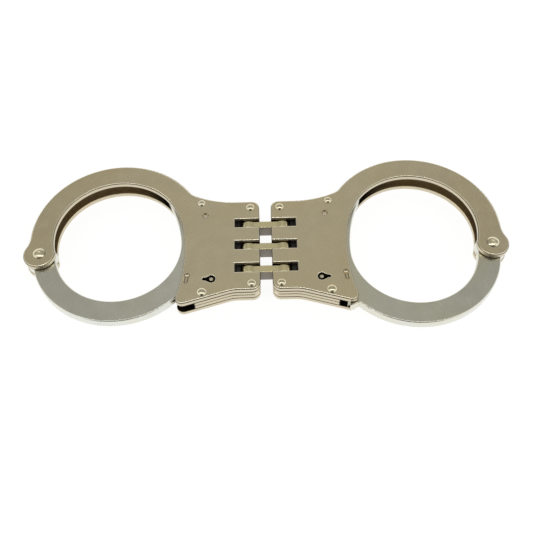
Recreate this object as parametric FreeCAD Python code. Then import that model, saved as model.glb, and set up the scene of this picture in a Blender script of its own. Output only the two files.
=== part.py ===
"""Hinged double-locking handcuffs.

Frame: millimetres, +Z up. The origin is midway between the two hinge pins, on the surface
that the underside rivet heads rest on. +X runs to the right-hand cuff, +Y to the far side.
Every sub-part of a cuff is drawn for the left-hand cuff and mirrored in X for the right one.
"""
import FreeCAD, Part
import math
import os

Vec = FreeCAD.Vector
UP = Vec(0, 0, 1)

# ---- Stack of plates -------------------------------------------------------
PLATE = 2.6                   # thickness of each cheek and each spacer
HEAD_RISE = 1.0               # height of a domed rivet head
Z_BOTTOM = HEAD_RISE          # underside of the bottom cheek
Z_GAP = Z_BOTTOM + PLATE      # floor of the strand gap
Z_MID = Z_GAP + PLATE         # seam between the spacers, and height of the hinge axes
Z_TOP_GAP = Z_MID + PLATE     # roof of the strand gap
Z_TOP = Z_TOP_GAP + PLATE     # upper face of the top cheek
SIDE_PLAY = 0.2               # play above and below each piece that moves in the gap
RUN = 0.05                    # radial clearance of a running pin
SEAT = 0.01                   # radial gap of a pin that is seated for good
OVERLAP = 1.0                 # how far two pieces of one outline are drawn into each other

# ---- Cheek outline ---------------------------------------------------------
PIVOT = Vec(-106.0, -2.4)     # strand pivot
LOBE_R = 7.5
RING_C = Vec(-70.24, 7.71)    # centre of the fixed bow
RING_OUT = 41.1
RING_IN = 30.1
LOBE_BLEND = 12.0             # hollow between pivot lobe and bow
NECK_BLEND = 7.0              # hollow between bow and housing
HOUSING_END = -2.75           # x of the housing's end face
HOUSING_TOP = 24.9
HOUSING_BOTTOM = -24.8
CORNER_R = 3.9
WAIST_X = -14.0               # where the top edge starts to rise
WAIST_R = 48.0
SOLE_BLEND = 18.0             # hollow where the bottom edge starts to fall
SOLE_SLOPE = math.radians(16.5)
SOLE_POINT = Vec(-30.0, -29.1)
TOE_R = 3.2                   # corner at the strand mouth
THROAT_R = 67.8               # wrist-side edge at the top of the throat, from the strand pivot
THROAT_LOWER_R = 82.8         # radius of the throat below that, down to the toe
THROAT_TOP = math.radians(8.5)
THROAT_JOIN = math.radians(29.0)   # on the bow's inner circle
CHEEK_ROUND = 0.8             # rim of a cheek's outer face
INNER_ROUND = 0.35            # rim of a cheek's inner face
SPACER_ROUND = 0.8            # outer rims of a spacer
SPACER_BOUND = 40.0           # half side of the square that the spacers are cut from
SPACER_RIM_X = -35.0          # the rounded rims lie to the right of this

# ---- Strand ----------------------------------------------------------------
STRAND_REST = 7.5             # bearing of the strand's bow centre at the left cuff's rest
STRAND_ARM = 36.5             # pivot to bow centre
STRAND_OUT = 40.3             # strand bow, outer and inner radius
STRAND_IN = 29.7
STRAND_LOBE = 7.2
TOOTH_TIP = 75.2              # tooth circle, about the pivot
TOOTH_DEPTH = 1.1
HEEL_DEPTH = 6.0              # height of the toothed band's square heel
TOOTH_INNER = STRAND_ARM + STRAND_IN
TEETH = 28
TOOTH_PITCH = 30.0 / 17.0     # degrees
FIRST_TOOTH = -16.9           # bearing of the heel of the toothed band
RIGHT_OPEN_TEETH = 4          # the right cuff is this many teeth further open
STRAND_ROUND = 0.7
STRAND_SHAFT = 2.4            # radius of the strand pivot's shank

# ---- Lock ------------------------------------------------------------------
CHANNEL_R = 78.0              # inner edge of the spacers, about the strand pivot
PAWL_PIN = Vec(-28.65, 16.8)
PAWL_PIN_R = 1.15
PAWL_PIN_POCKET = 1.6         # radius of the shallow pocket that the pin's end lies in
POCKET_DEPTH = 0.8
PAWL_BOSS_R = 2.6
PAWL_IN = 76.0
PAWL_OUT = 80.6
PAWL_TAIL = -10.2             # bearing of the pawl's free end, about the strand pivot
PAWL_TEETH = 4
PAWL_FIRST = 1                # pitch steps from a strand tooth to the pawl's middle
PAWL_TAIL_THICK = 2.2
PAWL_LIFT = 6.0               # degrees from in mesh to lifted clear
LIFT_ROOM = 3.9               # room behind the pawl
NOTCH_REACH = 4.5             # size of the notch for the bar's nose
PAWL_TIP = 12.5               # bearing of the pawl's end at its pin
SPRING_BEARING = 5.0          # the pawl is thinner above this, to leave room for its spring
PAWL_THIN = 79.5
SPRING_WALL = 82.4            # housing face behind the pawl spring
MESH_GAP = 0.25
KEYHOLE = Vec(-25.2, -18.65)
KEYHOLE_R = 1.9
KEYHOLE_REACH = 4.2           # end of the bit slot, from the keyhole's centre
KEYHOLE_SLOT = 1.3
KEYHOLE_FLARE = 2.9           # where the flare narrows to the slot
FLARE_BEARING = 130           # where the flare leaves the round hole
KEYHOLE_ROUND = 0.35
KEY_POST_R = 0.85
POST_SUNK = 0.4               # end of the key post and of the pawl pin below the cheek's face
PIN_ROUND = 0.3
COLLAR_R = 1.6                # collar at the foot of the key post
COLLAR_HIGH = 0.6
BIT_SWEEP = 5.0               # radius of the space the key bit turns in
BAR_X = (-21.2, -18.8)        # double-lock bar, across
BAR_Y = (-14.5, 15.5)         # double-lock bar at rest, unlocked
BAR_TRAVEL = 3.0
NOSE = Vec(-25.0, 1.0)        # leading corner of the bar's nose
NOSE_HEIGHT = 2.0
FOOT_X = -22.3                # key end of the bar
FOOT_HEIGHT = 2.0
PLUNGER_X = -20.0
PLUNGER_R = 0.8
PLUNGER_END = 23.6            # outer end, sunk in the housing's top edge
CAVITY_PLAY = 0.3
DETENT_WALL = -17.0           # pocket of the detent spring, beside the bar
DETENT_Y = (0.0, 9.0)
DETENT_CROWN = 0.15           # from the bar to the crown of its detent spring
SPRING_GAP = 0.05             # between a leaf spring and the wall behind it
LEAF = 0.4                    # thickness of the leaf springs
LEAF_Z = (Z_GAP + 0.6, Z_TOP_GAP - 0.6)

# ---- Hinge -----------------------------------------------------------------
HINGE_X = 8.1                 # each hinge pin from the middle
HINGE_PIN_R = 1.5
HINGE_PIN_END = 19.0
LINK_ROWS = {"upper_link": 12.1, "middle_link": -0.4, "lower_link": -12.9}
LINK_THICK = 3.9
LINK_HIGH = 7.0
KNUCKLE_R = 4.1
LINK_BLEND = 4.0              # hollow between a knuckle and the bar
LINK_SLOT = 4.3
SLOT_END = -14.4
LINK_ROUND = 0.5

# ---- Rivets: place, head radius ---------------------------------------------
SHANK_R = 1.4
RIVETS = (
    (Vec(-7.06, 21.2), 2.15),
    (Vec(-6.8, -21.4), 2.15),
    (Vec(-30.7, 24.4), 1.95),
    (Vec(-29.35, -25.5), 2.35),
)
PIVOT_HEAD_R = 3.05
PUNCH_R = 1.3                 # dimple in each head of the strand pivot
PUNCH_LIFT = 0.9              # height of the punch's centre above the head's crown

# ---- Index mark: a stamped groove with a dimple at its upper end ---------------
MARK_ENDS = (Vec(-36.3, -16.6), Vec(-36.8, -19.7))
MARK_R = 1.3                  # radius of the round punch
MARK_LIFT = 0.75              # height of the punch's axis above the plate
DIMPLE_R = 1.4
DIMPLE_LIFT = 0.5


# ---- Helpers -----------------------------------------------------------------
def polar(centre, radius, degrees):
    """Point at a bearing from a centre."""
    angle = math.radians(degrees)
    return Vec(centre.x + radius * math.cos(angle), centre.y + radius * math.sin(angle))


def towards(centre, target, radius):
    """Point at a distance from a centre, in the direction of another point."""
    return centre + (target - centre).normalize() * radius


def circles_meet(c1, r1, c2, r2, side):
    """Where two circles cross: side +1 is left of the line from c1 to c2, -1 is right."""
    gap = c2 - c1
    span = gap.Length
    along = (r1 * r1 - r2 * r2 + span * span) / (2 * span)
    across = math.sqrt(r1 * r1 - along * along)
    unit = gap * (1 / span)
    return c1 + unit * along + Vec(-unit.y, unit.x) * (side * across)


def line(a, b):
    return Part.LineSegment(a, b).toShape()


def arc(centre, a, b, clockwise=False):
    """Arc about a centre from point a to point b."""
    radius = (a - centre).Length
    start = math.atan2(a.y - centre.y, a.x - centre.x)
    stop = math.atan2(b.y - centre.y, b.x - centre.x)
    if clockwise and stop > start:
        stop -= 2 * math.pi
    if not clockwise and stop < start:
        stop += 2 * math.pi
    middle = polar(centre, radius, math.degrees((start + stop) / 2))
    return Part.Arc(a, middle, b).toShape()


def face(edges):
    return Part.Face(Part.Wire(edges))


def polygon(points):
    return Part.Face(Part.makePolygon(list(points) + [points[0]]))


def disc(centre, radius):
    return face([Part.makeCircle(radius, centre)])


def sector(centre, inner, outer, start, stop):
    """Piece of a flat ring between two bearings."""
    a, b = polar(centre, inner, start), polar(centre, outer, start)
    c, d = polar(centre, outer, stop), polar(centre, inner, stop)
    return face([line(a, b), arc(centre, b, c), line(c, d), arc(centre, d, a, clockwise=True)])


def box(x0, x1, y0, y1):
    return polygon([Vec(x0, y0), Vec(x1, y0), Vec(x1, y1), Vec(x0, y1)])


def capsule(a, b, radius):
    """Flat slot with round ends."""
    side = Vec(-(b - a).y, (b - a).x).normalize() * radius
    return face([line(a - side, b - side), arc(b, b - side, b + side),
                 line(b + side, a + side), arc(a, a + side, a - side)])


def union(shapes):
    return shapes[0].multiFuse(shapes[1:]).removeSplitter()


def slab(flat, low, high):
    """Plate raised from flat faces between two heights."""
    prisms = []
    for piece in flat.Faces:
        prism = piece.translated(Vec(0, 0, low)).extrude(Vec(0, 0, high - low))
        prisms.append(prism if prism.Volume > 0 else prism.reversed())
    return union(prisms) if len(prisms) > 1 else prisms[0]


def only_solid(shape):
    """The single solid inside a boolean's result."""
    return max(shape.Solids, key=lambda solid: solid.Volume)


def post(centre, radius, low, high):
    return Part.makeCylinder(radius, high - low, Vec(centre.x, centre.y, low))


def flat_edges(shape, height):
    """Edges that lie in one horizontal plane."""
    return [edge for edge in shape.Edges
            if abs(edge.BoundBox.ZMin - height) < 1e-4 and abs(edge.BoundBox.ZMax - height) < 1e-4]


def turn(shape, centre, degrees):
    turned = shape.copy()
    turned.rotate(Vec(centre.x, centre.y, 0), UP, degrees)
    return turned


# ---- Housing and bow outline ---------------------------------------------------
def cheek_outline():
    """Closed face of a cheek, without its holes and slots."""
    waist_c = Vec(WAIST_X, HOUSING_TOP + WAIST_R)
    neck_c = circles_meet(RING_C, RING_OUT + NECK_BLEND, waist_c, WAIST_R - NECK_BLEND, -1)
    lobe_c = circles_meet(RING_C, RING_OUT + LOBE_BLEND, PIVOT, LOBE_R + LOBE_BLEND, -1)
    crotch = circles_meet(PIVOT, LOBE_R, RING_C, RING_IN, -1)
    throat_join = polar(RING_C, RING_IN, math.degrees(THROAT_JOIN))
    throat_top = polar(PIVOT, THROAT_R, math.degrees(THROAT_TOP))
    out = (throat_top - PIVOT).normalize()
    chord = throat_join - PIVOT
    reach = (THROAT_R ** 2 - chord.dot(chord)) / (2 * (THROAT_R - chord.dot(out)))
    throat_c = PIVOT + out * reach

    sole = Vec(math.cos(SOLE_SLOPE), math.sin(SOLE_SLOPE))
    normal = Vec(-sole.y, sole.x)
    bend = SOLE_POINT + sole * ((HOUSING_BOTTOM - SOLE_POINT.y) / sole.y)
    tangent = SOLE_BLEND * math.tan(SOLE_SLOPE / 2)
    sole_c = Vec(bend.x + tangent, HOUSING_BOTTOM - SOLE_BLEND)
    low_throat_c = PIVOT - out * (THROAT_LOWER_R - THROAT_R)
    base = SOLE_POINT + normal * TOE_R - low_throat_c
    lean = base.dot(sole)
    slide = math.sqrt(lean ** 2 - base.dot(base) + (THROAT_LOWER_R + TOE_R) ** 2) - lean
    toe_c = low_throat_c + base + sole * slide

    top_c = Vec(HOUSING_END - CORNER_R, HOUSING_TOP - CORNER_R)
    low_c = Vec(HOUSING_END - CORNER_R, HOUSING_BOTTOM + CORNER_R)
    ring_neck = towards(RING_C, neck_c, RING_OUT)
    waist_neck = towards(waist_c, neck_c, WAIST_R)
    ring_lobe = towards(RING_C, lobe_c, RING_OUT)
    lobe_start = towards(PIVOT, lobe_c, LOBE_R)
    toe_throat = towards(low_throat_c, toe_c, THROAT_LOWER_R)
    toe_sole = toe_c - normal * TOE_R
    waist_start = Vec(WAIST_X, HOUSING_TOP)
    sole_end = bend - sole * tangent
    sole_start = Vec(bend.x + tangent, HOUSING_BOTTOM)
    return face([
        line(Vec(HOUSING_END, low_c.y), Vec(HOUSING_END, top_c.y)),
        arc(top_c, Vec(HOUSING_END, top_c.y), Vec(top_c.x, HOUSING_TOP)),
        line(Vec(top_c.x, HOUSING_TOP), waist_start),
        arc(waist_c, waist_start, waist_neck, clockwise=True),
        arc(neck_c, waist_neck, ring_neck, clockwise=True),
        arc(RING_C, ring_neck, ring_lobe),
        arc(lobe_c, ring_lobe, lobe_start, clockwise=True),
        arc(PIVOT, lobe_start, crotch),
        arc(RING_C, crotch, throat_join, clockwise=True),
        arc(throat_c, throat_join, throat_top, clockwise=True),
        arc(low_throat_c, throat_top, toe_throat, clockwise=True),
        arc(toe_c, toe_throat, toe_sole),
        line(toe_sole, sole_end),
        arc(sole_c, sole_end, sole_start, clockwise=True),
        line(sole_start, Vec(low_c.x, HOUSING_BOTTOM)),
        arc(low_c, Vec(low_c.x, HOUSING_BOTTOM), Vec(HOUSING_END, low_c.y)),
    ])


def link_slots():
    """Slots that the three links swing in, open at the housing's end."""
    return [box(SLOT_END, 0, y - LINK_SLOT / 2, y + LINK_SLOT / 2) for y in LINK_ROWS.values()]


def keyhole():
    """Round hole that flares into a slot for the key's bit."""
    half = KEYHOLE_SLOT / 2
    slot_end = Vec(KEYHOLE.x - KEYHOLE_REACH + half, KEYHOLE.y)
    flare_x = KEYHOLE.x - KEYHOLE_FLARE
    flare = polygon([polar(KEYHOLE, KEYHOLE_R, FLARE_BEARING), Vec(flare_x, KEYHOLE.y + half),
                     Vec(flare_x, KEYHOLE.y - half), polar(KEYHOLE, KEYHOLE_R, -FLARE_BEARING)])
    return Part.makeCompound([disc(KEYHOLE, KEYHOLE_R), capsule(slot_end, KEYHOLE, half), flare])


def cheek(low, outer, cuts):
    """Cheek plate, rounded along the rims of both faces, less what is cut from it."""
    plate = slab(cheek_outline().cut(link_slots()), low, low + PLATE)
    inner = 2 * low + PLATE - outer
    plate = plate.makeFillet(CHEEK_ROUND, flat_edges(plate, outer))
    plate = plate.makeFillet(INNER_ROUND, flat_edges(plate, inner))
    holes = [post(place, SHANK_R, low, low + PLATE) for place, _ in RIVETS]
    holes.append(post(PIVOT, STRAND_SHAFT, low, low + PLATE))
    holes.append(post(PAWL_PIN, PAWL_PIN_R, low, low + PLATE))
    return only_solid(plate.cut(holes + cuts))


def index_mark():
    """Round-bottomed groove between two points, and the dimple at its first point."""
    start, end = [Vec(place.x, place.y, Z_TOP + MARK_LIFT) for place in MARK_ENDS]
    groove = Part.makeCylinder(MARK_R, (end - start).Length, start, end - start)
    dimple = Part.makeSphere(DIMPLE_R, Vec(start.x, start.y, Z_TOP + DIMPLE_LIFT))
    return [groove, Part.makeSphere(MARK_R, end), dimple]


def top_cheek():
    """Upper outer plate, with the keyhole, the index mark and the pawl pin's pocket."""
    pocket = post(PAWL_PIN, PAWL_PIN_POCKET, Z_TOP - POCKET_DEPTH, Z_TOP)
    plate = cheek(Z_TOP_GAP, Z_TOP, [slab(keyhole(), Z_TOP_GAP, Z_TOP), pocket] + index_mark())
    near = disc(KEYHOLE, KEYHOLE_REACH + OVERLAP).BoundBox
    rim = [edge for edge in flat_edges(plate, Z_TOP)
           if near.isInside(Vec(edge.CenterOfMass.x, edge.CenterOfMass.y))]
    return plate.makeFillet(KEYHOLE_ROUND, rim)


def bottom_cheek():
    return cheek(Z_BOTTOM, Z_BOTTOM, [post(KEYHOLE, KEY_POST_R, Z_BOTTOM, Z_GAP)])


def lock_cavity():
    """Room in the spacers for the strand, the pawl, the double-lock bar and the key's bit."""
    play = CAVITY_PLAY
    lifted = PAWL_OUT + LIFT_ROOM
    return [
        disc(PIVOT, CHANNEL_R),
        disc(PAWL_PIN, PAWL_BOSS_R + play),
        sector(PIVOT, PAWL_IN, lifted, PAWL_TAIL - 3, SPRING_BEARING),
        sector(PIVOT, PAWL_IN, SPRING_WALL, SPRING_BEARING - 1, PAWL_TIP + 1),
        box(BAR_X[0] - play, BAR_X[1] + play, BAR_Y[0] - BAR_TRAVEL - play, BAR_Y[1] + play),
        box(NOSE.x - play, BAR_X[1], NOSE.y - BAR_TRAVEL - play, NOSE.y + NOSE_HEIGHT + play),
        box(FOOT_X - play, BAR_X[1], BAR_Y[0] - BAR_TRAVEL - play, BAR_Y[0] + FOOT_HEIGHT + play),
        box(BAR_X[1], DETENT_WALL, *DETENT_Y),
        disc(KEYHOLE, BIT_SWEEP),
    ]


def spacer(low):
    """Housing spacer: the housing's outline, cut away for the lock and the links."""
    bounds = box(-SPACER_BOUND, 0, -SPACER_BOUND, SPACER_BOUND)
    flat = cheek_outline().common(bounds).cut(lock_cavity() + link_slots())
    plate = only_solid(slab(flat, low, low + PLATE))
    outside = [edge for edge in flat_edges(plate, low) + flat_edges(plate, low + PLATE)
               if on_housing_rim(edge)]
    plate = plate.makeFillet(SPACER_ROUND, outside)
    bores = [post(place, SHANK_R + SEAT, low, low + PLATE) for place, _ in RIVETS]
    hinge = Part.makeCylinder(HINGE_PIN_R + SEAT, 2 * HINGE_PIN_END,
                              Vec(-HINGE_X, -HINGE_PIN_END, Z_MID), Vec(0, 1, 0))
    plunger = Part.makeCylinder(PLUNGER_R + 2 * RUN, HOUSING_TOP,
                                Vec(PLUNGER_X, BAR_Y[1], Z_MID), Vec(0, 1, 0))
    return only_solid(plate.cut(bores + [hinge, plunger]))


def on_housing_rim(edge):
    """True for the edges of the housing's outer sides, away from the channel and slots."""
    middle = edge.valueAt((edge.FirstParameter + edge.LastParameter) / 2)
    low_or_high = middle.y > HOUSING_TOP - CORNER_R or middle.y < HOUSING_BOTTOM + CORNER_R
    beyond = (Vec(middle.x, middle.y) - PIVOT).Length > CHANNEL_R + CAVITY_PLAY
    return middle.x > SPACER_RIM_X and low_or_high and beyond


# ---- Strand --------------------------------------------------------------------
def tooth_bearing(step):
    """Bearing of a strand tooth's steep face at the left cuff's rest."""
    return FIRST_TOOTH + step * TOOTH_PITCH


def strand_face():
    """Left strand at rest: half a ring, the pivot lobe, and the toothed band to the tip."""
    bow_c = polar(PIVOT, STRAND_ARM, STRAND_REST)
    half = sector(bow_c, STRAND_IN, STRAND_OUT, STRAND_REST + 180, STRAND_REST + 360)
    root = TOOTH_TIP - TOOTH_DEPTH
    half = half.common(disc(PIVOT, root))
    teeth = []
    for step in range(TEETH):
        teeth.append(polar(PIVOT, TOOTH_TIP, tooth_bearing(step)))
        teeth.append(polar(PIVOT, root, tooth_bearing(step + 1)))
    nose_r = (TOOTH_TIP - TOOTH_INNER) / 2
    nose = polar(PIVOT, TOOTH_INNER + nose_r, tooth_bearing(TEETH))
    teeth.append(polar(PIVOT, TOOTH_TIP, tooth_bearing(TEETH)))
    inner_end = polar(PIVOT, TOOTH_INNER, tooth_bearing(TEETH))
    inner_start = polar(PIVOT, TOOTH_INNER, STRAND_REST)
    heel = polar(PIVOT, root - HEEL_DEPTH, tooth_bearing(0))
    inner_lap = polar(PIVOT, TOOTH_INNER + OVERLAP, STRAND_REST)
    edges = [line(a, b) for a, b in zip(teeth, teeth[1:])]
    edges.append(arc(nose, teeth[-1], inner_end))
    edges.append(arc(PIVOT, inner_end, inner_start, clockwise=True))
    edges.append(line(inner_start, inner_lap))
    edges.append(line(inner_lap, heel))
    edges.append(line(heel, teeth[0]))
    return union([half, disc(PIVOT, STRAND_LOBE), face(edges)])


def strand():
    """Single strand, rounded along the sides that meet the wrist and the outside."""
    low, high = Z_GAP + SIDE_PLAY, Z_TOP_GAP - SIDE_PLAY
    solid = only_solid(slab(strand_face(), low, high))
    bow_c = polar(PIVOT, STRAND_ARM, STRAND_REST)
    smooth = []
    for edge in flat_edges(solid, low) + flat_edges(solid, high):
        radius = getattr(edge.Curve, "Radius", 0)
        centre = getattr(edge.Curve, "Center", PIVOT)
        about_bow = (Vec(centre.x, centre.y) - bow_c).Length < 0.01
        if about_bow or abs(radius - TOOTH_INNER) < 0.01:
            smooth.append(edge)
    solid = solid.makeFillet(STRAND_ROUND, smooth)
    return only_solid(solid.cut(post(PIVOT, STRAND_SHAFT + RUN, low, high)))


# ---- Lock ------------------------------------------------------------------------
def pawl_face():
    """Pawl in mesh with the strand's teeth, before it is lifted."""
    body = sector(PIVOT, PAWL_IN, PAWL_OUT, PAWL_TAIL + 3, SPRING_BEARING)
    thin = sector(PIVOT, PAWL_IN, PAWL_THIN, SPRING_BEARING - 1, PAWL_TIP)
    tail = sector(PIVOT, PAWL_OUT - PAWL_TAIL_THICK, PAWL_OUT, PAWL_TAIL, PAWL_TAIL + 4)
    tip = TOOTH_TIP - TOOTH_DEPTH + MESH_GAP
    slack = math.degrees(MESH_GAP / 2 / TOOTH_TIP)
    middle = round((PAWL_FIRST * TOOTH_PITCH - FIRST_TOOTH) / TOOTH_PITCH)
    teeth = []
    for step in range(middle - PAWL_TEETH // 2, middle + PAWL_TEETH // 2):
        start, steep = tooth_bearing(step) - slack, tooth_bearing(step + 1) - slack
        teeth.append(polygon([polar(PIVOT, TOOTH_TIP + MESH_GAP, start), polar(PIVOT, tip, steep),
                              polar(PIVOT, PAWL_IN + OVERLAP, steep),
                              polar(PIVOT, PAWL_IN + OVERLAP, start)]))
    return union([body, thin, tail, disc(PAWL_PIN, PAWL_BOSS_R)] + teeth)


def pawl():
    """Pawl lifted clear of the teeth, with the notch that the bar's nose lies in."""
    lifted = turn(pawl_face(), PAWL_PIN, PAWL_LIFT)
    gap = CAVITY_PLAY
    slope = math.radians(PAWL_LIFT) * (PAWL_PIN.y - NOSE.y + BAR_TRAVEL / 2) / BAR_TRAVEL
    notch = polygon([
        Vec(NOSE.x - gap, NOSE.y + NOSE_HEIGHT + 2 * gap),
        Vec(NOSE.x + NOTCH_REACH, NOSE.y + NOSE_HEIGHT + 2 * gap),
        Vec(NOSE.x + NOTCH_REACH, NOSE.y - NOTCH_REACH),
        Vec(NOSE.x - gap + NOTCH_REACH * slope, NOSE.y - gap / 2 - NOTCH_REACH),
        Vec(NOSE.x - gap, NOSE.y - gap / 2),
    ])
    flat = lifted.cut(notch).cut(disc(PAWL_PIN, PAWL_PIN_R + RUN))
    return only_solid(slab(flat, Z_GAP + SIDE_PLAY, Z_TOP_GAP - SIDE_PLAY))


def double_lock_bar():
    """Sliding bar: a nose that wedges behind the pawl and a foot that the key pushes back."""
    flat = union([
        box(*BAR_X, *BAR_Y),
        box(NOSE.x, BAR_X[0] + OVERLAP, NOSE.y, NOSE.y + NOSE_HEIGHT),
        box(FOOT_X, BAR_X[0] + OVERLAP, BAR_Y[0], BAR_Y[0] + FOOT_HEIGHT),
    ])
    return only_solid(slab(flat, Z_GAP + SIDE_PLAY, Z_TOP_GAP - SIDE_PLAY))


def double_lock_plunger():
    """Round pin on the end of the bar, pressed in through the housing's top edge."""
    pin = Part.makeCylinder(PLUNGER_R, PLUNGER_END - BAR_Y[1], Vec(PLUNGER_X, BAR_Y[1], Z_MID),
                            Vec(0, 1, 0))
    outer = [edge for edge in pin.Edges if edge.BoundBox.YMin > PLUNGER_END - 0.01]
    return pin.makeFillet(PIN_ROUND, outer)


def detent_spring():
    """Bowed leaf that holds the bar where it is put."""
    low, high = DETENT_Y[0] + SIDE_PLAY, DETENT_Y[1] - SIDE_PLAY
    back = DETENT_WALL - SPRING_GAP
    crown = BAR_X[1] + DETENT_CROWN
    middle = (low + high) / 2
    outer = Part.Arc(Vec(back, low), Vec(crown, middle), Vec(back, high)).toShape()
    inner = Part.Arc(Vec(back, high - LEAF), Vec(crown + LEAF, middle), Vec(back, low + LEAF)).toShape()
    flat = face([outer, line(Vec(back, high), Vec(back, high - LEAF)), inner,
                 line(Vec(back, low + LEAF), Vec(back, low))])
    return slab(flat, *LEAF_Z)


def pawl_spring():
    """Leaf between the housing and the pawl's back, drawn pressed flat as with the pawl lifted."""
    outer = SPRING_WALL - SPRING_GAP
    flat = sector(PIVOT, outer - LEAF, outer, SPRING_BEARING + 1, PAWL_TIP - 2)
    return slab(flat, *LEAF_Z)


def key_post():
    """Post that the key's hollow shank turns on, seated in the bottom cheek."""
    shaft = post(KEYHOLE, KEY_POST_R - SEAT, Z_BOTTOM, Z_TOP - POST_SUNK)
    collar = post(KEYHOLE, COLLAR_R, Z_GAP, Z_GAP + COLLAR_HIGH)
    return union([shaft, collar])


# ---- Rivets and pins -----------------------------------------------------------------
def dome(centre, radius, height, up):
    """Spherical cap with its flat side on a plane."""
    ball = (radius ** 2 + HEAD_RISE ** 2) / (2 * HEAD_RISE)
    latitude = math.degrees(math.asin((ball - HEAD_RISE) / ball))
    foot = Vec(centre.x, centre.y, height - up * (ball - HEAD_RISE))
    return Part.makeSphere(ball, foot, Vec(0, 0, up), latitude, 90, 360)


def rivet(centre, shank, head):
    """Shank through all four plates with a domed head on each face."""
    return union([post(centre, shank, Z_BOTTOM, Z_TOP), dome(centre, head, Z_TOP, 1),
                  dome(centre, head, Z_BOTTOM, -1)])


def housing_rivets():
    return Part.makeCompound([rivet(place, SHANK_R - SEAT, head) for place, head in RIVETS])


def strand_pivot():
    """Pivot rivet, with a small dimple in each head."""
    body = rivet(PIVOT, STRAND_SHAFT - SEAT, PIVOT_HEAD_R)
    for height in (Z_TOP + HEAD_RISE, Z_BOTTOM - HEAD_RISE):
        lift = math.copysign(PUNCH_LIFT, height - Z_MID)
        body = body.cut(Part.makeSphere(PUNCH_R, Vec(PIVOT.x, PIVOT.y, height + lift)))
    return only_solid(body)


def pawl_pin():
    """Pin through both cheeks, its rounded ends a little below their faces."""
    low, high = Z_BOTTOM + POST_SUNK, Z_TOP - POST_SUNK
    pin = post(PAWL_PIN, PAWL_PIN_R - SEAT, low, high)
    return pin.makeFillet(PIN_ROUND, flat_edges(pin, low) + flat_edges(pin, high))


def hinge_pin():
    """Long pin through the spacers and the three links."""
    start = Vec(-HINGE_X, -HINGE_PIN_END, Z_MID)
    return Part.makeCylinder(HINGE_PIN_R, 2 * HINGE_PIN_END, start, Vec(0, 1, 0))


def link_outline():
    """Bar with a round knuckle at each end, in the plane of the hinge pins' cross-section."""
    half = LINK_HIGH / 2
    spread = math.sqrt((KNUCKLE_R + LINK_BLEND) ** 2 - (half + LINK_BLEND) ** 2)
    edges = []
    for side in (1, -1):
        knuckle = Vec(side * HINGE_X, 0)
        first_c = Vec(side * (HINGE_X - spread), -side * (half + LINK_BLEND))
        second_c = Vec(side * (HINGE_X - spread), side * (half + LINK_BLEND))
        first = towards(knuckle, first_c, KNUCKLE_R)
        second = towards(knuckle, second_c, KNUCKLE_R)
        start = Vec(first_c.x, -side * half)
        end = Vec(second_c.x, side * half)
        edges.append(line(Vec(-start.x, start.y), start))
        edges.append(arc(first_c, start, first, clockwise=True))
        edges.append(arc(knuckle, first, second))
        edges.append(arc(second_c, second, end, clockwise=True))
    return face(edges)


def link(row):
    """Flat link with a knuckle at both ends, bored for the two hinge pins."""
    outline = link_outline()
    outline.rotate(Vec(0, 0, 0), Vec(1, 0, 0), 90)
    outline.translate(Vec(0, row + LINK_THICK / 2, Z_MID))
    plate = outline.extrude(Vec(0, -LINK_THICK, 0))
    plate = plate.makeFillet(LINK_ROUND, [edge for edge in plate.Edges if edge.BoundBox.YLength < 0.01])
    bores = []
    for x in (-HINGE_X, HINGE_X):
        start = Vec(x, row - LINK_THICK, Z_MID)
        bores.append(Part.makeCylinder(HINGE_PIN_R + RUN, 2 * LINK_THICK, start, Vec(0, 1, 0)))
    return only_solid(plate.cut(bores))


# ---- Assembly -------------------------------------------------------------------------
CUFF = {
    "top_cheek": top_cheek,
    "bottom_cheek": bottom_cheek,
    "upper_spacer": lambda: spacer(Z_MID),
    "lower_spacer": lambda: spacer(Z_GAP),
    "housing_rivets": housing_rivets,
    "strand": strand,
    "strand_pivot": strand_pivot,
    "pawl": pawl,
    "pawl_pin": pawl_pin,
    "pawl_spring": pawl_spring,
    "double_lock_bar": double_lock_bar,
    "double_lock_plunger": double_lock_plunger,
    "double_lock_detent": detent_spring,
    "key_post": key_post,
    "hinge_pin": hinge_pin,
}


def build():
    """All sub-parts by node name."""
    nodes = {}
    for name, make in CUFF.items():
        shape = make()
        nodes["left_" + name] = shape
        nodes["right_" + name] = shape.mirror(Vec(0, 0, 0), Vec(1, 0, 0))
    mirrored_pivot = Vec(-PIVOT.x, PIVOT.y)
    nodes["right_strand"] = turn(nodes["right_strand"], mirrored_pivot, RIGHT_OPEN_TEETH * TOOTH_PITCH)
    for name, row in LINK_ROWS.items():
        nodes[name] = link(row)
    return nodes


def main():
    os.makedirs("parts", exist_ok=True)
    for name, shape in build().items():
        shape.exportStep("parts/" + name + ".step")
        print(name, len(shape.Solids), "solid(s)", round(shape.Volume, 1), "mm3")


if __name__ == "__main__":
    main()
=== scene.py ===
"""Hinged handcuffs in satin nickel, on a white table under a soft studio dome."""
import math

import bpy
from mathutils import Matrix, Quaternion, Vector

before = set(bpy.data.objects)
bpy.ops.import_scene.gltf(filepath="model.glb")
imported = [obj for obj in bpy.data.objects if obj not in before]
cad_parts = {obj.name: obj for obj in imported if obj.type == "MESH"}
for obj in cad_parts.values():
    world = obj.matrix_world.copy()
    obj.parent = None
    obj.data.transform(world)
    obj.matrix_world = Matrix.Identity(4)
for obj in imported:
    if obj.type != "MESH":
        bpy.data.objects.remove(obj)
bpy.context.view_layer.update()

# ---- Camera ----------------------------------------------------------------
CAMERA_PLACE = (0.00108, -0.18955, 0.29180)
CAMERA_TARGET = (0.0001, -0.01285, 0.0114)
CAMERA_LENS = 48.8            # mm, on a sensor this wide:
CAMERA_SENSOR = 36.0
CAMERA_ROLL = math.radians(-1.74)

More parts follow.
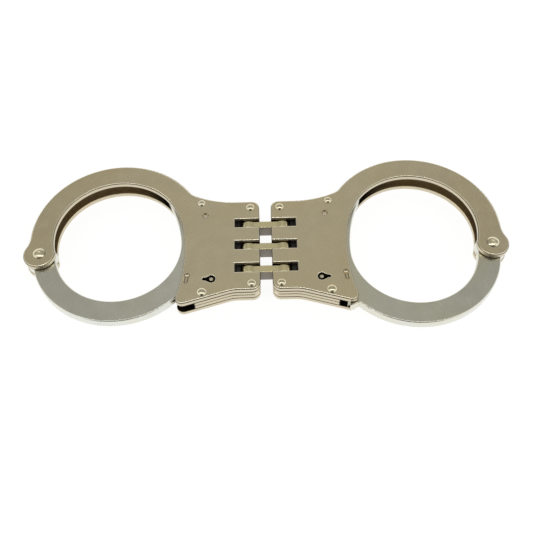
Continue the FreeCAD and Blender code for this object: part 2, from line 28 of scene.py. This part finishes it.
# ---- Metal colours, linear --------------------------------------------------
NICKEL = (0.77, 0.69, 0.51)
STRAND_NICKEL = (0.745, 0.755, 0.70)
# Painted shade: a darker copy of the nickel for the upright walls.
WALL_SHADED_NICKEL = (0.63, 0.565, 0.42)
LINK_NICKEL = (0.87, 0.79, 0.52)
POLISHED = (0.86, 0.80, 0.68)
RIVET_NICKEL = (0.74, 0.69, 0.53)
# Painted highlight: bright colour for the very top of the rims.
RIM_HIGHLIGHT_COLOUR = (0.98, 0.94, 0.80)
LOCK_STEEL = (0.42, 0.41, 0.39)
SPRING_STEEL = (0.25, 0.25, 0.27)
# Painted shade: darker colour for the links' flanks.
LINK_SIDE_SHADE = (0.254, 0.225, 0.197)
# Painted shade: near black for the gaps, slots, seams and rivet feet, and for the painted dark
# reflection lines on the rims.
PAINTED_DARK = (0.016, 0.012, 0.008)
# Brown tarnish together with painted shade, for the cheeks' inner faces.
BROWN_TARNISH_AND_SHADE = (0.30, 0.17, 0.03)

# ---- Nickel plate: scales of its noises and cells, per metre ------------------
GRAIN_SCALE = 2600.0
CLOUD_SCALE = 150.0
PATCH_SCALE = 34.0
TARNISH_SHADE_SCALE = 420.0
PIT_SCALE = 420.0
PIT_GROUPS = 210.0
HAIRLINES = ((0.5, 520.0), (1.7, 430.0), (2.6, 610.0))   # turn in plan, scale
STREAKS = (9000.0, 260.0, 9000.0)                        # fine lines along Y

# ---- Nickel plate: the part of each noise or distance that is in use ----------
MIDDLE_SPAN = (0.3, 0.7)
ROUGH_SPAN = (0.32, 0.68)
PATCH_SPAN = (0.42, 0.68)
TARNISH_SHADE_SPAN = (0.35, 0.65)
HAIRLINE_GATE = (0.56, 0.64)
HAIRLINE_EDGE = (0.0, 0.018)
PIT_GATE = (0.60, 0.66)
PIT_EDGE = (0.06, 0.12)

# ---- Nickel plate: colour factors, and how strongly each layer shows ----------
DARKER = 0.93
LIGHTER = 1.05
YELLOWER = (1.0, 0.96, 0.86)
PIT_SHADE = 0.6
PATCH_AMOUNT = 0.75
PIT_AMOUNT = 0.4
TARNISH_SHADE_AMOUNT = (0.70, 0.86)    # thin and thick places of the brown tarnish and painted shade on the inner faces
# The next four: how strong the painted shade in the seam, the painted dark reflection line on the rims,
# the painted highlight on the rims and the painted shade at the rivet feet are.
SEAM_AMOUNT = 0.85
RIM_AMOUNT = 0.75
RIM_HIGHLIGHT_AMOUNT = 0.9
RIVET_AMOUNT = 0.8

# ---- Nickel plate: added roughness, and relief (strength, height in metres) ---
GRAIN_ROUGH = 0.03            # more or less than the cloud's own
HAIRLINE_ROUGH = 0.08
# Roughness added under the painted shade and dark lines, at the rivet feet, and under the painted
# highlight.
PAINTED_SHADE_ROUGH = 0.25
RIVET_SHADE_ROUGH = 0.2
RIM_HIGHLIGHT_ROUGH = -0.06
GRAIN_HEIGHT = 0.00003
STREAK_HEIGHT = 0.00002
CLOUD_RELIEF = (0.05, 0.00010)
HAIRLINE_RELIEF = (0.10, -0.00002)
PIT_RELIEF = (0.4, -0.00005)

# ---- Bare steel ----------------------------------------------------------------
GRINDING = (400.0, 7000.0, 400.0)   # grinding lines along X
STEEL_CLOUDS = 260.0
STEEL_SHADE = 0.7
STEEL_ROUGH = (-0.06, 0.08)         # less and more than the steel's own
STEEL_RELIEF = (0.25, 0.00003)

# ---- Places, metres -----------------------------------------------------------
MID_HEIGHT = 0.0062           # seam between the spacers
SEAM_HEIGHT = 0.0088          # seam under the top cheek
MIDDLE_ROW = -0.0004          # middle link, across
LINK_PITCH = 0.0125
PIVOT_X = 0.106               # strand pivots, from the middle
PIVOT_Y = -0.0024

# ---- Where the painted shade, the painted reflection and highlight and the brown tarnish end, metres ---
# Each is full up to its first distance and gone at the second. The two FOOT ranges run the other way.
SLOT_SIDES = (0.00218, 0.00226)      # across, from a link's middle
SLOT_ROWS = (0.0, 0.0002)            # past the outer links
SLOT_LENGTH = (0.0145, 0.0148)       # from the middle between the cuffs
SLOT_HEIGHT = (0.0040, 0.0047)       # above and below mid height
INNER_FACE = (0.00262, 0.00274)      # above and below mid height
HOUSING_REACH = (0.050, 0.066)       # from the middle between the cuffs
CHANNEL = (0.0782, 0.0785)           # from the strand pivot
SEAM = (0.00030, 0.00065)            # from the seam
RIVET_BASE = (0.00522, 0.00550)      # above and below mid height, as are the four below
RIM_TOP = (0.00503, 0.00512)
RIM_FOOT = (0.00466, 0.00480)
# Painted highlight at the very top of the rims.
HIGHLIGHT_TOP = (0.005185, 0.005195)
HIGHLIGHT_FOOT = (0.00511, 0.00514)

# ---- Table, strip light and dome -----------------------------------------------
TABLE_HALF = 3.0
TABLE_GREY = 0.16
TABLE_GLOW = 0.90
STRIP_PLACE = (0.0, -0.11, 0.80)
STRIP_SIZE = (0.90, 0.06)
STRIP_POWER = 0.65
STRIP_COLOUR = (1.0, 0.98, 0.95)
DOME_WHITE = (1.04, 1.03, 1.00)
DOME_CROWN = (0.72, 0.71, 0.67)
PANEL_MIDDLE = (0.458, 0.446, 0.394)
PANEL_ENDS = (0.375, 0.365, 0.324)
FRONT_BAND = (0.32, 0.31, 0.28)
FRONT_PATCH = (0.02, 0.02, 0.02)
# Smooth steps along the parts of a unit direction: 0 up to the first value, 1 from the second.
CROWN_UP = (0.84, 0.96)
PANEL_BACK = (0.02, 0.25)
PANEL_UP = (0.30, 0.48)
PANEL_ASIDE = (0.75, 0.95)
ENDS_ASIDE = (0.10, 0.30)
FRONT_NEAR = (0.12, 0.32)
BAND_ASIDE = (0.38, 0.64)
BAND_UP = (-0.10, 0.10)
BAND_TOP = (0.90, 0.97)
PATCH_ASIDE = (0.12, 0.22)
PATCH_UP = (0.50, 0.60)
PATCH_TOP = (0.88, 0.94)


# ---- Node helpers -------------------------------------------------------------
class Nodes:
    """Adds nodes to a tree."""

    def __init__(self, tree):
        self.tree = tree

    def add(self, kind, **values):
        """New node: each value is one of its settings or one of its sockets."""
        node = self.tree.nodes.new(kind)
        for key, value in values.items():
            if hasattr(node, key):
                setattr(node, key, value)
            else:
                node.inputs[key].default_value = value
        return node

    def join(self, start, end):
        """Links an output to an input."""
        self.tree.links.new(start, end)

    def feed(self, value, socket):
        """Joins an output, or sets a number, on a socket."""
        if isinstance(value, (int, float)):
            socket.default_value = value
        else:
            self.join(value, socket)

    def spread(self, value, low, high, to_low=0.0, to_high=1.0, **settings):
        """Maps a range of a value to another range."""
        node = self.add("ShaderNodeMapRange", **settings)
        self.join(value, node.inputs["Value"])
        ends = {"From Min": low, "From Max": high, "To Min": to_low, "To Max": to_high}
        for name, number in ends.items():
            node.inputs[name].default_value = number
        return node.outputs["Result"]

    def scaled(self, amount, full):
        """A mask's 0 to 1 as 0 to another value."""
        return self.spread(amount, 0.0, 1.0, 0.0, full)

    def combine(self, first, second, operation="ADD"):
        """Arithmetic on two values."""
        node = self.add("ShaderNodeMath", operation=operation)
        self.feed(first, node.inputs[0])
        self.feed(second, node.inputs[1])
        return node.outputs["Value"]

    def blend(self, factor, first, second):
        """Mixes two colours by a factor."""
        node = self.add("ShaderNodeMix", data_type="RGBA")
        self.join(factor, node.inputs["Factor"])
        for socket, colour in ((node.inputs[6], first), (node.inputs[7], second)):
            if isinstance(colour, tuple):
                socket.default_value = (*colour, 1)
            else:
                self.join(colour, socket)
        return node.outputs[2]


class Shader(Nodes):
    """One material's node tree."""

    def __init__(self, name):
        self.material = bpy.data.materials.new(name)
        self.material.use_nodes = True
        super().__init__(self.material.node_tree)
        self.surface = self.tree.nodes["Principled BSDF"]
        self.surface.inputs["Metallic"].default_value = 1.0
        self.coordinates = self.add("ShaderNodeTexCoord")
        self.place = self.coordinates.outputs["Object"]

    def stretched(self, scale, turn=0.0):
        """Object coordinates, turned in plan and scaled along each axis."""
        mapping = self.add("ShaderNodeMapping")
        mapping.inputs["Rotation"].default_value = (0, 0, turn)
        mapping.inputs["Scale"].default_value = scale
        self.join(self.place, mapping.inputs["Vector"])
        return mapping.outputs["Vector"]

    def noise(self, vector, scale, detail=4.0, rough=0.55):
        """Fractal noise, mostly near 0.5."""
        node = self.add("ShaderNodeTexNoise", Scale=scale, Detail=detail, Roughness=rough)
        self.join(vector, node.inputs["Vector"])
        return node.outputs["Fac"]

    def bump(self, height, strength, distance, below=None):
        """Relief from a height, on top of any relief below."""
        node = self.add("ShaderNodeBump", Strength=strength, Distance=distance)
        self.join(height, node.inputs["Height"])
        if below is not None:
            self.join(below, node.inputs["Normal"])
        return node.outputs["Normal"]

    def finish(self, colour, rough, relief):
        """Joins the three to the surface, and gives the material."""
        self.join(colour, self.surface.inputs["Base Color"])
        self.join(rough, self.surface.inputs["Roughness"])
        self.join(relief, self.surface.inputs["Normal"])
        return self.material


def shaded(colour, amount):
    """A colour made darker or lighter, by one factor or by one for each channel."""
    factors = amount if isinstance(amount, tuple) else (amount,) * 3
    return tuple(min(1.0, channel * factor) for channel, factor in zip(colour, factors))


def plated(name, colour, rough, grain, streak=0.0, painted_light=(), side=None):
    """Nickel plate over tumbled steel: mottled grain, faint scratches, small pits, and any painted shade
    or highlight given.

    Rough is the range of the roughness, grain and streak are strengths of relief. Each painted layer is
    a mask, a colour and what it adds to the roughness: painted shade, a painted reflection or highlight,
    or tarnish with painted shade. A side is an axis, the range of the normal's part along it, and then
    the same two: painted shade there.
    """
    shader = Shader(name)
    fine = shader.noise(shader.place, GRAIN_SCALE, 3.0)
    cloud = shader.noise(shader.place, CLOUD_SCALE, 5.0, 0.6)
    patch = shader.noise(shader.place, PATCH_SCALE, 3.0)
    hairs = scratches(shader)
    pits = pitting(shader)

    coarse_tone = shader.spread(cloud, *MIDDLE_SPAN, -0.5, 0.5)
    fine_tone = shader.spread(fine, *MIDDLE_SPAN, -0.5, 0.5)
    tone = shader.spread(shader.combine(coarse_tone, fine_tone), -0.8, 0.8)
    plate = shader.blend(tone, shaded(colour, DARKER), shaded(colour, LIGHTER))
    yellow = shader.spread(patch, *PATCH_SPAN, 0.0, PATCH_AMOUNT)
    plate = shader.blend(yellow, plate, shaded(colour, YELLOWER))
    plate = shader.blend(shader.scaled(pits, PIT_AMOUNT), plate, shaded(colour, PIT_SHADE))

    matt = shader.spread(cloud, *ROUGH_SPAN, *rough)
    matt = shader.combine(matt, shader.spread(fine, *MIDDLE_SPAN, -GRAIN_ROUGH, GRAIN_ROUGH))
    matt = shader.combine(matt, shader.scaled(hairs, HAIRLINE_ROUGH))

    layers = [(mask(shader), paint_colour, added) for mask, paint_colour, added in painted_light]
    if side is not None:
        axis, start, end, side_colour, side_rough = side
        layers.insert(0, (shader.spread(facing(shader, axis), start, end), side_colour, side_rough))
    # Painted shade, painted reflection lines and painted highlights are laid over the plate's colour
    # here, with their roughness.
    for amount, paint_colour, added in layers:
        plate = shader.blend(amount, plate, paint_colour)
        matt = shader.combine(matt, shader.scaled(amount, added))

    relief = shader.bump(fine, grain, GRAIN_HEIGHT)
    relief = shader.bump(cloud, *CLOUD_RELIEF, relief)
    relief = shader.bump(hairs, *HAIRLINE_RELIEF, relief)
    relief = shader.bump(pits, *PIT_RELIEF, relief)
    if streak:
        lines = shader.noise(shader.stretched(STREAKS), 1.0, 2.0)
        relief = shader.bump(lines, streak, STREAK_HEIGHT, relief)
    return shader.finish(plate, matt, relief)


def scratches(shader):
    """Thin hairlines in three directions, each broken up by a noise."""
    total = None
    for turn, scale in HAIRLINES:
        cells = shader.add("ShaderNodeTexVoronoi", feature="DISTANCE_TO_EDGE", Scale=1.0)
        shader.join(shader.stretched((scale, scale * 0.045, scale * 0.3), turn), cells.inputs["Vector"])
        hair = within(shader, cells.outputs["Distance"], HAIRLINE_EDGE)
        gate = shader.spread(shader.noise(shader.place, scale * 0.35, 1.0), *HAIRLINE_GATE)
        hair = shader.combine(hair, gate, "MULTIPLY")
        total = hair if total is None else shader.combine(total, hair, "MAXIMUM")
    return total


def pitting(shader):
    """Scattered small pits in the plating."""
    cells = shader.add("ShaderNodeTexVoronoi", feature="F1", Scale=PIT_SCALE)
    shader.join(shader.place, cells.inputs["Vector"])
    spot = within(shader, cells.outputs["Distance"], PIT_EDGE)
    gate = shader.spread(shader.noise(shader.place, PIT_GROUPS, 1.0), *PIT_GATE)
    return shader.combine(spot, gate, "MULTIPLY")


def steel(name, colour, rough):
    """Bare hardened steel with fine grinding lines."""
    shader = Shader(name)
    lines = shader.noise(shader.stretched(GRINDING), 1.0, 3.0)
    cloud = shader.noise(shader.place, STEEL_CLOUDS)
    metal = shader.blend(cloud, shaded(colour, STEEL_SHADE), colour)
    matt = shader.spread(cloud, *MIDDLE_SPAN, *(rough + more for more in STEEL_ROUGH))
    return shader.finish(metal, matt, shader.bump(lines, *STEEL_RELIEF))


# ---- Masks for the painted shade, reflections and highlights, and the tarnish -----
def facing(shader, axis):
    """How far the surface faces along one of the object's own axes, either way."""
    parts = shader.add("ShaderNodeSeparateXYZ")
    shader.join(shader.coordinates.outputs["Normal"], parts.inputs["Vector"])
    return shader.combine(parts.outputs[axis], 0.0, "ABSOLUTE")


def off(shader, axis, centre=0.0):
    """Distance from a plane across one axis."""
    parts = shader.add("ShaderNodeSeparateXYZ")
    shader.join(shader.place, parts.inputs["Vector"])
    return shader.combine(shader.combine(parts.outputs[axis], centre, "SUBTRACT"), 0.0, "ABSOLUTE")


def from_pivots(shader):
    """Distance from the strand pivots' upright axes, for both cuffs at once."""
    parts = shader.add("ShaderNodeCombineXYZ")
    shader.join(shader.combine(off(shader, "X"), PIVOT_X, "SUBTRACT"), parts.inputs["X"])
    shader.join(off(shader, "Y", PIVOT_Y), parts.inputs["Y"])
    length = shader.add("ShaderNodeVectorMath", operation="LENGTH")
    shader.join(parts.outputs["Vector"], length.inputs[0])
    return length.outputs["Value"]


def within(shader, distance, ends, full=1.0):
    """Full up to the first of two distances, and nothing from the second."""
    return shader.spread(distance, *ends, full, 0.0)


def slot_shade(shader):
    """1 deep inside the link slots, where painted shade goes, 0 elsewhere."""
    row = off(shader, "Y", MIDDLE_ROW)
    from_link = within(shader, shader.combine(row, LINK_PITCH / 2, "PINGPONG"), SLOT_SIDES)
    past_rows = shader.combine(row, LINK_PITCH * 1.2, "SUBTRACT")
    in_row = shader.combine(from_link, within(shader, past_rows, SLOT_ROWS), "MULTIPLY")
    housing = within(shader, off(shader, "X"), SLOT_LENGTH)
    deep = within(shader, off(shader, "Z", MID_HEIGHT), SLOT_HEIGHT)
    return shader.combine(shader.combine(in_row, housing, "MULTIPLY"), deep, "MULTIPLY")


def inner_faces(shader):
    """1 on the cheeks' inner faces, 0 elsewhere."""
    return within(shader, off(shader, "Z", MID_HEIGHT), INNER_FACE)


def bow_tarnish_and_shade(shader):
    """Patchy brown on the cheeks' inner faces: partly tarnish, partly painted shade of the gap under the
    top cheek.
    """
    patchy = shader.spread(shader.noise(shader.place, TARNISH_SHADE_SCALE), *TARNISH_SHADE_SPAN, *TARNISH_SHADE_AMOUNT)
    return shader.combine(inner_faces(shader), patchy, "MULTIPLY")


def cheek_shade(shader):
    """Painted shade: black on the cheeks' inner faces at the housing, where the gap is unlit, and in the
    slots.
    """
    housing = within(shader, off(shader, "X"), HOUSING_REACH)
    inner = shader.combine(inner_faces(shader), housing, "MULTIPLY")
    return shader.combine(inner, slot_shade(shader), "MAXIMUM")


def spacer_shade(shader):
    """Painted shade on the walls of the strand's channel and of the slots."""
    return shader.combine(within(shader, from_pivots(shader), CHANNEL), slot_shade(shader), "MAXIMUM")


def seam_shade(shader):
    """Painted shade: dark line in the seam under the top cheek."""
    return within(shader, off(shader, "Z", SEAM_HEIGHT), SEAM, SEAM_AMOUNT)


def level_line(shader, foot, top, full):
    """Line between two heights, on both outer sides: it rises over foot and fades over top."""
    height = off(shader, "Z", MID_HEIGHT)
    rising = shader.spread(height, *foot, 0.0, full)
    return shader.combine(rising, within(shader, height, top), "MULTIPLY")


def rim_line(shader):
    """Painted dark reflection: a line round the rounded rims of the two outer faces."""
    return level_line(shader, RIM_FOOT, RIM_TOP, RIM_AMOUNT)


def rim_highlight(shader):
    """Painted highlight: a bright line at the very top of those rims."""
    return level_line(shader, HIGHLIGHT_FOOT, HIGHLIGHT_TOP, RIM_HIGHLIGHT_AMOUNT)


def rivet_foot(shader):
    """Painted shade: dark line where a rivet's head meets the cheek."""
    return within(shader, off(shader, "Z", MID_HEIGHT), RIVET_BASE, RIVET_AMOUNT)


# ---- Materials on the nodes -------------------------------------------------------
# Painted shade: upright walls of the cheeks and spacers get a darker copy of the nickel.
UPRIGHT_WALL_SHADE = ("Z", 0.45, 0.15, WALL_SHADED_NICKEL, 0.0)
# Painted shade: the links' flanks facing along Y get a darker colour.
LINK_FLANK_SHADE = ("Y", 0.80, 0.95, LINK_SIDE_SHADE, 0.22)
# Painted light on the cheeks: brown tarnish with painted shade, painted shade, a painted dark reflection
# line and a painted highlight.
CHEEK_PAINTED_LIGHT = (
    (bow_tarnish_and_shade, BROWN_TARNISH_AND_SHADE, PAINTED_SHADE_ROUGH),
    (cheek_shade, PAINTED_DARK, PAINTED_SHADE_ROUGH),
    (seam_shade, PAINTED_DARK, PAINTED_SHADE_ROUGH),
    (rim_line, PAINTED_DARK, PAINTED_SHADE_ROUGH),
    (rim_highlight, RIM_HIGHLIGHT_COLOUR, RIM_HIGHLIGHT_ROUGH),
)
SPACER_PAINTED_SHADE = ((spacer_shade, PAINTED_DARK, PAINTED_SHADE_ROUGH), (seam_shade, PAINTED_DARK, PAINTED_SHADE_ROUGH))
RIVET_PAINTED_SHADE = ((rivet_foot, PAINTED_DARK, RIVET_SHADE_ROUGH),)

CHEEK = plated("cheek_nickel", NICKEL, (0.22, 0.28), grain=0.12, painted_light=CHEEK_PAINTED_LIGHT, side=UPRIGHT_WALL_SHADE)
SPACER = plated("spacer_nickel", NICKEL, (0.20, 0.26), grain=0.10, painted_light=SPACER_PAINTED_SHADE, side=UPRIGHT_WALL_SHADE)
STRAND = plated("strand_nickel", STRAND_NICKEL, (0.20, 0.27), grain=0.15, streak=0.08)
LINK = plated("link_nickel", LINK_NICKEL, (0.20, 0.26), grain=0.12, side=LINK_FLANK_SHADE)
BRIGHT = plated("polished_nickel", POLISHED, (0.08, 0.12), grain=0.06)
RIVET = plated("rivet_nickel", RIVET_NICKEL, (0.08, 0.12), grain=0.06, painted_light=RIVET_PAINTED_SHADE)
LOCK = steel("lock_steel", LOCK_STEEL, rough=0.34)
SPRING = steel("spring_steel", SPRING_STEEL, rough=0.28)

# The first entry whose word is in a node's name gives its material.
FINISHES = (
    ("spring", SPRING), ("detent", SPRING),
    ("rivets", RIVET), ("strand_pivot", RIVET), ("pawl_pin", BRIGHT), ("key_post", BRIGHT),
    ("hinge_pin", LOCK), ("double_lock", LOCK), ("pawl", LOCK),
    ("strand", STRAND), ("link", LINK),
    ("cheek", CHEEK), ("spacer", SPACER),
)


def finish_of(node):
    """The material for a node, by its name."""
    for part, material in FINISHES:
        if part in node:
            return material
    raise ValueError(node)


for node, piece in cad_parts.items():
    piece.data.materials.clear()
    piece.data.materials.append(finish_of(node))


# ---- Studio -------------------------------------------------------------------------
def add_floor():
    """Pale table top under the object."""
    half = TABLE_HALF
    mesh = bpy.data.meshes.new("table_top")
    corners = [(-half, -half, 0), (half, -half, 0), (half, half, 0), (-half, half, 0)]
    mesh.from_pydata(corners, [], [(0, 1, 2, 3)])
    floor = bpy.data.objects.new("table_top", mesh)
    bpy.context.collection.objects.link(floor)
    material = bpy.data.materials.new("table_white")
    material.use_nodes = True
    surface = material.node_tree.nodes["Principled BSDF"]
    surface.inputs["Base Color"].default_value = (TABLE_GREY, TABLE_GREY, TABLE_GREY, 1)
    surface.inputs["Roughness"].default_value = 0.9
    surface.inputs["Emission Color"].default_value = (1, 1, 1, 1)
    surface.inputs["Emission Strength"].default_value = TABLE_GLOW
    mesh.materials.append(material)


def add_sky():
    """White dome, dimmer overhead, with a warm grey panel behind and a grey band in front."""
    world = bpy.data.worlds.new("studio")
    bpy.context.scene.world = world
    world.use_nodes = True
    sky = Nodes(world.node_tree)
    parts = sky.add("ShaderNodeSeparateXYZ")
    sky.join(sky.add("ShaderNodeTexCoord").outputs["Generated"], parts.inputs["Vector"])
    aside, depth, height = parts.outputs
    aside = sky.combine(aside, 0.0, "ABSOLUTE")
    near = sky.combine(depth, -1.0, "MULTIPLY")

    def step(value, ends):
        return sky.spread(value, *ends, interpolation_type="SMOOTHSTEP")

    def below(value, ends):
        return sky.combine(1.0, step(value, ends), "SUBTRACT")

    def all_of(*masks):
        total = masks[0]
        for mask in masks[1:]:
            total = sky.combine(total, mask, "MULTIPLY")
        return total

    panel = all_of(step(depth, PANEL_BACK), step(height, PANEL_UP), below(aside, PANEL_ASIDE))
    band = all_of(step(near, FRONT_NEAR), below(aside, BAND_ASIDE), step(height, BAND_UP),
                  below(height, BAND_TOP))
    patch = all_of(step(near, FRONT_NEAR), below(aside, PATCH_ASIDE), step(height, PATCH_UP),
                   below(height, PATCH_TOP))
    dome = sky.blend(step(height, CROWN_UP), DOME_WHITE, DOME_CROWN)
    panel_grey = sky.blend(step(aside, ENDS_ASIDE), PANEL_MIDDLE, PANEL_ENDS)
    colour = sky.blend(panel, dome, panel_grey)
    colour = sky.blend(band, colour, FRONT_BAND)
    colour = sky.blend(patch, colour, FRONT_PATCH)
    background = sky.tree.nodes["Background"]
    sky.join(colour, background.inputs["Color"])
    background.inputs["Strength"].default_value = 1.0


def add_strip_light():
    """Long thin light overhead, aimed at the origin."""
    data = bpy.data.lights.new("overhead_strip", "AREA")
    data.shape = "RECTANGLE"
    data.size, data.size_y = STRIP_SIZE
    data.energy = STRIP_POWER
    data.color = STRIP_COLOUR
    light = bpy.data.objects.new("overhead_strip", data)
    light.location = STRIP_PLACE
    light.rotation_mode = "QUATERNION"
    light.rotation_quaternion = (-Vector(STRIP_PLACE)).to_track_quat("-Z", "Y")
    bpy.context.collection.objects.link(light)


def add_camera():
    """The camera, with its horizon a little off level."""
    data = bpy.data.cameras.new("camera")
    data.lens = CAMERA_LENS
    data.sensor_width = CAMERA_SENSOR
    data.clip_start = 0.01
    data.clip_end = 20.0
    camera = bpy.data.objects.new("camera", data)
    camera.location = CAMERA_PLACE
    camera.rotation_mode = "QUATERNION"
    look = (Vector(CAMERA_TARGET) - Vector(CAMERA_PLACE)).to_track_quat("-Z", "Y")
    camera.rotation_quaternion = look @ Quaternion((0, 0, 1), CAMERA_ROLL)
    bpy.context.collection.objects.link(camera)
    bpy.context.scene.camera = camera


add_floor()
add_sky()
add_strip_light()
add_camera()
bpy.context.scene.view_settings.view_transform = "Standard"
